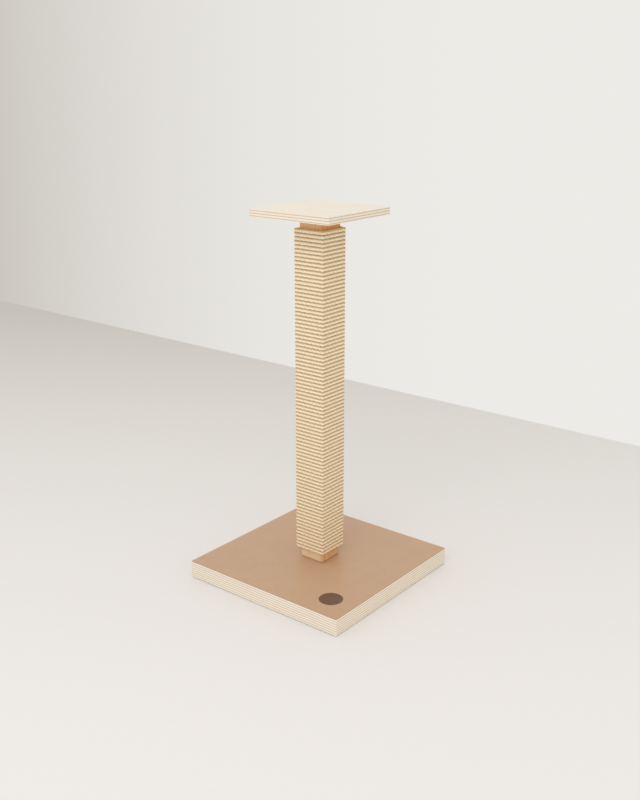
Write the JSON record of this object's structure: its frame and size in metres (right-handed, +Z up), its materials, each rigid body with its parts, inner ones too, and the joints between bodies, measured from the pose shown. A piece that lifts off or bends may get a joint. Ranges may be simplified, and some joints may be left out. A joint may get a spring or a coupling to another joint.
{
  "type": "sisal cat scratcher",
  "caption": "Free-standing cat scratching post: a square wooden post wound with sisal rope, on a thick plywood base with a brown sheet, under a small square board.",
  "frame": {"origin": "centre of the base's footprint, on the floor", "axes": "+Z up along the post, X and Y along the edges of the base; the badge is in the +X, -Y corner"},
  "size_m": [0.4, 0.4, 0.7988],
  "materials": {
    "pale_ply": "satin",
    "dark_ply": "satin",
    "brown_laminate": "satin",
    "badge": "matte",
    "pad": "matte",
    "steel": "zinc plated",
    "dowel_wood": "raw",
    "post_wood": "oiled",
    "sisal": "rough fibre"
  },
  "bodies": {
    "root": {"base_ply_01": "pale_ply", "base_ply_02": "dark_ply", "base_ply_03": "pale_ply", "base_ply_04": "dark_ply", "base_ply_05": "pale_ply", "base_ply_06": "dark_ply", "base_ply_07": "pale_ply", "base_ply_08": "dark_ply", "base_ply_09": "pale_ply", "base_ply_10": "dark_ply", "base_ply_11": "pale_ply", "base_ply_12": "dark_ply", "base_ply_13": "pale_ply", "top_ply_1": "pale_ply", "top_ply_2": "dark_ply", "top_ply_3": "pale_ply", "top_ply_4": "dark_ply", "top_ply_5": "pale_ply", "top_ply_6": "dark_ply", "top_ply_7": "pale_ply", "base_laminate": "brown_laminate", "badge_disc": "badge", "foot_pad_front_left": "pad", "foot_pad_front_right": "pad", "foot_pad_back_left": "pad", "foot_pad_back_right": "pad", "base_bolt": "steel", "base_washer": "steel", "post_threaded_sleeve": "steel", "rope_staples": "steel", "base_dowels": "dowel_wood", "top_dowels": "dowel_wood", "post_core": "post_wood", "sisal_rope": "sisal"}
  },
  "joints": []
}
